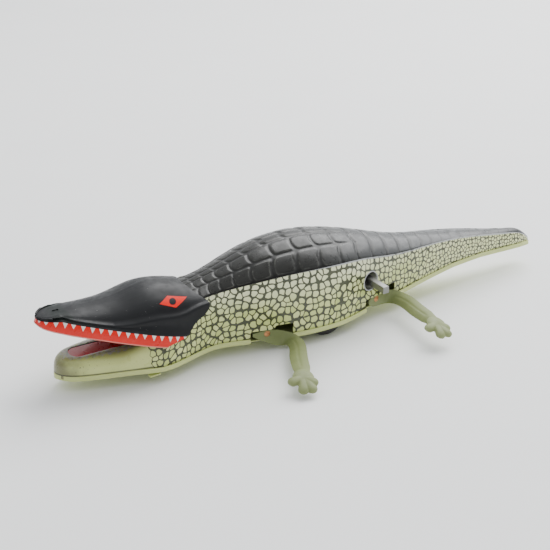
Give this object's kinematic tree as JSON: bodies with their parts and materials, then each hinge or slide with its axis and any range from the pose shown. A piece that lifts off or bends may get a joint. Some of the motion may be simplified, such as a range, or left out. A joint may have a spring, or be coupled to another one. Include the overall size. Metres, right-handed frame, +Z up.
{
  "type": "tin wind-up crocodile",
  "caption": "Clockwork tinplate crocodile with a hinged snapping upper jaw, rocking legs, drive wheels under the belly and a square winding arbor.",
  "frame": {"origin": "on the floor, under the middle of the toy's box", "axes": "+X towards the tail, -Y towards the left flank with the winding arbor, +Z up"},
  "size_m": [0.3, 0.1449, 0.0518],
  "materials": {
    "black_back": "gloss black embossed tin over yellow-green lithographed flanks",
    "pan_green": "satin light olive green",
    "black_head": "gloss black with red lips and white teeth",
    "tinned_steel": "dull tinned sheet",
    "bare_steel": "bright turned steel",
    "brass": "satin brass",
    "leg_green": "matte sage green",
    "tyre_rubber": "dark grey rubber"
  },
  "bodies": {
    "chassis": {"body_shell": "black_back", "belly_pan": "pan_green", "roller_fork": "pan_green", "roller_axle": "bare_steel", "jaw_pin": "bare_steel", "motor_plate_left": "tinned_steel", "motor_plate_right": "tinned_steel", "motor_pillars": "bare_steel", "mainspring": "bare_steel", "leg_rivets": "brass", "leg_bracket_front_left": "leg_green", "leg_bracket_front_right": "leg_green", "leg_bracket_rear_left": "leg_green", "leg_bracket_rear_right": "leg_green"},
    "head": {"head_shell": "black_head", "head_bracket": "tinned_steel"},
    "jaw_rod": {"jaw_rod": "tinned_steel"},
    "great_wheel": {"great_wheel": "brass", "click": "tinned_steel"},
    "winding_arbor": {"winding_arbor": "bare_steel", "ratchet_wheel": "tinned_steel"},
    "second_arbor": {"second_arbor": "bare_steel", "second_pinion": "brass", "second_wheel": "brass", "jaw_cam": "tinned_steel", "crank_left": "tinned_steel", "crank_right": "tinned_steel"},
    "governor": {"governor_spindle": "bare_steel", "governor_pinion": "brass", "governor_weights": "tinned_steel"},
    "drive_axle": {"drive_axle": "bare_steel", "drive_pinion": "brass", "wheel_hub_left": "bare_steel", "wheel_hub_right": "bare_steel", "tyre_left": "tyre_rubber", "tyre_right": "tyre_rubber"},
    "front_roller": {"front_roller": "tyre_rubber"},
    "leg_front_left": {"leg_front_left": "leg_green"},
    "link_front_left": {"link_front_left": "tinned_steel"},
    "leg_front_right": {"leg_front_right": "leg_green"},
    "link_front_right": {"link_front_right": "tinned_steel"},
    "leg_rear_left": {"leg_rear_left": "leg_green"},
    "link_rear_left": {"link_rear_left": "tinned_steel"},
    "leg_rear_right": {"leg_rear_right": "leg_green"},
    "link_rear_right": {"link_rear_right": "tinned_steel"}
  },
  "joints": [
    {"name": "leg_front_left_swing", "type": "hinge", "parent": "chassis", "child": "leg_front_left", "pos_m": [-0.038, -0.0192, 0.0098], "axis": [-0.1908, -0.9816, 0], "range_deg": [0, 14]},
    {"name": "link_front_left_slide", "type": "slide", "parent": "chassis", "child": "link_front_left", "axis": [-1, 0, 0], "range_m": [0, 0.00195]},
    {"name": "leg_front_right_swing", "type": "hinge", "parent": "chassis", "child": "leg_front_right", "pos_m": [-0.038, 0.0192, 0.0098], "axis": [-0.1908, 0.9816, 0], "range_deg": [0, 14]},
    {"name": "link_front_right_slide", "type": "slide", "parent": "chassis", "child": "link_front_right", "axis": [1, 0, 0], "range_m": [0, 0.00195]},
    {"name": "leg_rear_left_swing", "type": "hinge", "parent": "chassis", "child": "leg_rear_left", "pos_m": [0.03, -0.0172, 0.0115], "axis": [-0.1908, 0.9816, 0], "range_deg": [0, 14]},
    {"name": "link_rear_left_slide", "type": "slide", "parent": "chassis", "child": "link_rear_left", "axis": [1, 0, 0], "range_m": [0, 0.00195]},
    {"name": "leg_rear_right_swing", "type": "hinge", "parent": "chassis", "child": "leg_rear_right", "pos_m": [0.03, 0.0172, 0.0115], "axis": [-0.1908, -0.9816, 0], "range_deg": [0, 14]},
    {"name": "link_rear_right_slide", "type": "slide", "parent": "chassis", "child": "link_rear_right", "axis": [-1, 0, 0], "range_m": [0, 0.00195]},
    {"name": "jaw_hinge", "type": "hinge", "parent": "chassis", "child": "head", "pos_m": [-0.08, 0, 0.031], "axis": [0, -1, 0], "range_deg": [0, 15]},
    {"name": "jaw_rod_slide", "type": "slide", "parent": "chassis", "child": "jaw_rod", "axis": [1, 0, 0], "range_m": [0, 0.00261]},
    {"name": "drive_spin", "type": "hinge", "parent": "chassis", "child": "drive_axle", "pos_m": [-0.002, 0, 0.011], "axis": [0, 1, 0], "continuous": true},
    {"name": "second_spin", "type": "hinge", "parent": "chassis", "child": "second_arbor", "pos_m": [0.00848, 0, 0.02086], "axis": [0, 1, 0], "continuous": true},
    {"name": "great_spin", "type": "hinge", "parent": "chassis", "child": "great_wheel", "pos_m": [0.0244, 0, 0.0239], "axis": [0, 1, 0], "continuous": true},
    {"name": "governor_spin", "type": "hinge", "parent": "chassis", "child": "governor", "pos_m": [0, 0, 0.03104], "axis": [0, 1, 0], "continuous": true},
    {"name": "winding_spin", "type": "hinge", "parent": "great_wheel", "child": "winding_arbor", "pos_m": [0.0244, 0, 0.0239], "axis": [0, -1, 0], "continuous": true},
    {"name": "front_roller_spin", "type": "hinge", "parent": "chassis", "child": "front_roller", "pos_m": [-0.097, 0, 0.005], "axis": [0, 1, 0], "continuous": true}
  ],
  "couplings": [
    {"joint": "link_front_left_slide", "follows": "leg_front_left_swing", "m_per_rad": 0.0079801},
    {"joint": "leg_front_right_swing", "follows": "leg_front_left_swing", "ratio": 1},
    {"joint": "link_front_right_slide", "follows": "leg_front_left_swing", "m_per_rad": 0.0079801},
    {"joint": "leg_rear_left_swing", "follows": "leg_front_left_swing", "ratio": 1},
    {"joint": "link_rear_left_slide", "follows": "leg_front_left_swing", "m_per_rad": 0.0079801},
    {"joint": "leg_rear_right_swing", "follows": "leg_front_left_swing", "ratio": 1},
    {"joint": "link_rear_right_slide", "follows": "leg_front_left_swing", "m_per_rad": 0.0079801},
    {"joint": "jaw_hinge", "follows": "leg_front_left_swing", "ratio": 1.0714},
    {"joint": "jaw_rod_slide", "follows": "leg_front_left_swing", "m_per_rad": 0.010684},
    {"joint": "second_spin", "follows": "drive_spin", "ratio": -0.33333},
    {"joint": "great_spin", "follows": "drive_spin", "ratio": 0.075758},
    {"joint": "governor_spin", "follows": "drive_spin", "ratio": 1.5}
  ]
}
